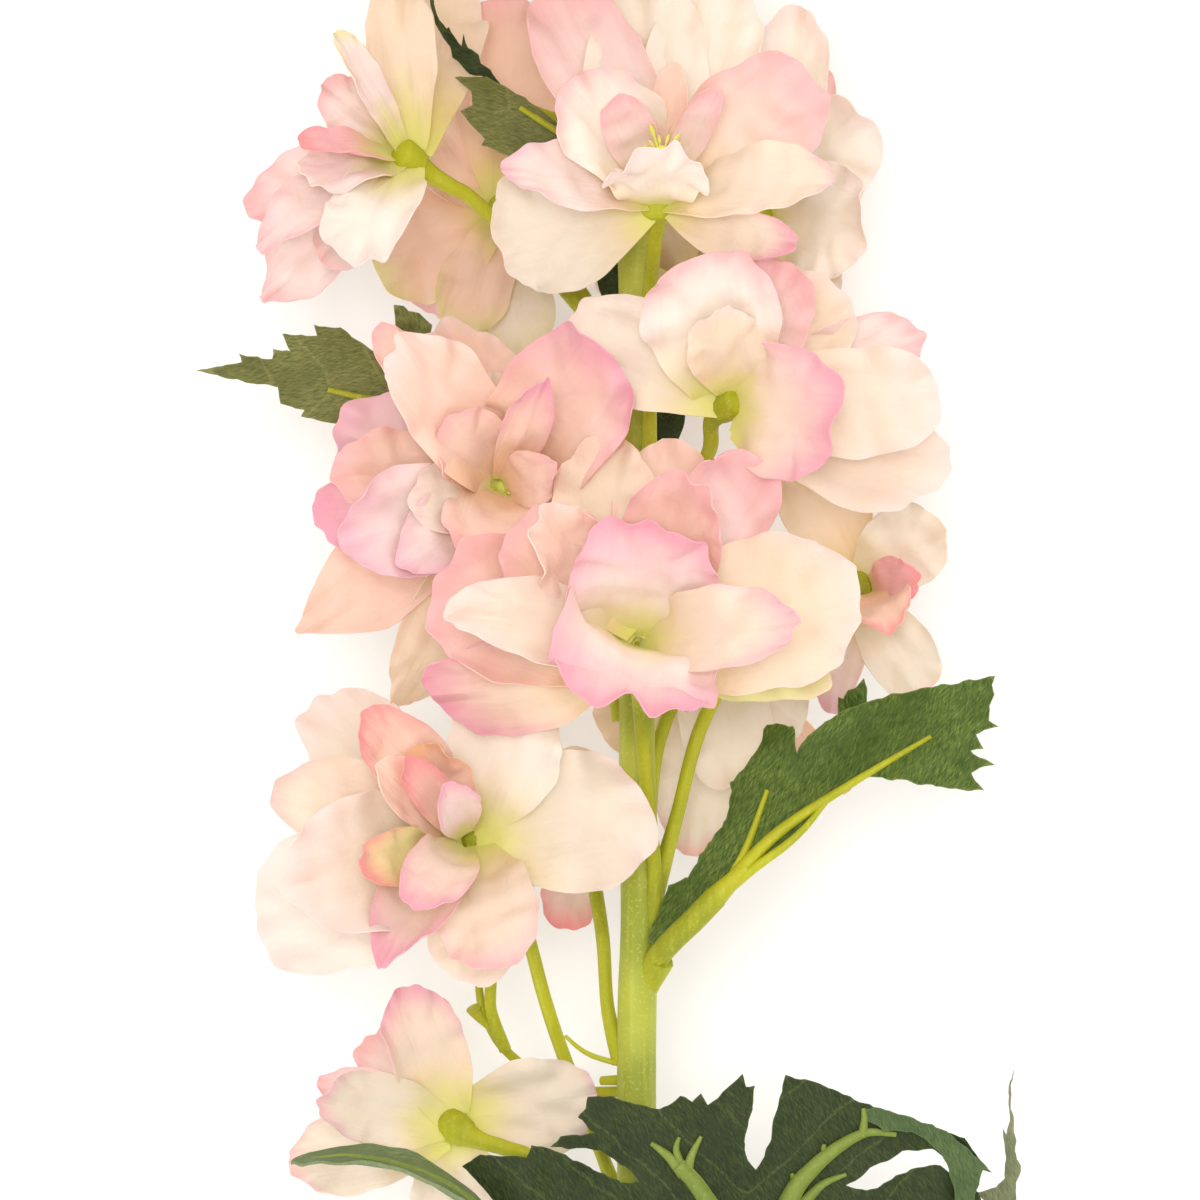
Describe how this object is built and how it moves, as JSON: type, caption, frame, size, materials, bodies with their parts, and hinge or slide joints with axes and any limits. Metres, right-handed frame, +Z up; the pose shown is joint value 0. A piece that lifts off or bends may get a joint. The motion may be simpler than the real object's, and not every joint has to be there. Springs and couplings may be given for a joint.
{
  "type": "delphinium flower spike",
  "caption": "Artificial delphinium spike on a cut stem, lying down: cream and pink fabric blooms, closed buds and toothed green leaves on a moulded green stem.",
  "frame": {"origin": "middle of the bounding box, on the surface that the spike lies on", "axes": "+Y along the stem from the cut end to the tip, +Z up, +X to the right"},
  "size_m": [0.1375, 0.7015, 0.0972],
  "materials": {
    "stem_plastic": "yellow-green moulded plastic with a faint seam, matte",
    "petal_fabric": "thin cream fabric with pink and peach edges and yellow-green roots",
    "leaf_fabric": "dark green fabric with fine lengthwise fibres"
  },
  "bodies": {
    "root": {"stem": "stem_plastic", "bloom_a": "petal_fabric", "bloom_b": "petal_fabric", "bloom_c": "petal_fabric", "bloom_d": "petal_fabric", "bloom_e": "petal_fabric", "bloom_f": "petal_fabric", "bloom_g": "petal_fabric", "bloom_h": "petal_fabric", "bloom_i": "petal_fabric", "bloom_j": "petal_fabric", "bloom_k": "petal_fabric", "bloom_m": "petal_fabric", "bloom_n": "petal_fabric", "bloom_o": "petal_fabric", "bloom_p": "petal_fabric", "bloom_q": "petal_fabric", "bloom_r": "petal_fabric", "bloom_s": "petal_fabric", "bloom_t": "petal_fabric", "bloom_u": "petal_fabric", "bloom_v": "petal_fabric", "bloom_w": "petal_fabric", "bloom_x": "petal_fabric", "bloom_y": "petal_fabric", "bloom_z": "petal_fabric", "bloom_l": "petal_fabric", "leaf_left": "leaf_fabric", "leaf_upper": "leaf_fabric", "leaf_side": "leaf_fabric", "leaf_front": "leaf_fabric", "leaf_lower_right": "leaf_fabric", "leaf_lower_left": "leaf_fabric", "leaf_arch": "leaf_fabric", "leaf_fin": "leaf_fabric", "leaf_tall": "leaf_fabric", "leaf_tab": "leaf_fabric", "leaf_back_one": "leaf_fabric", "leaf_back_two": "leaf_fabric", "leaf_shoulder": "leaf_fabric"}
  },
  "joints": []
}
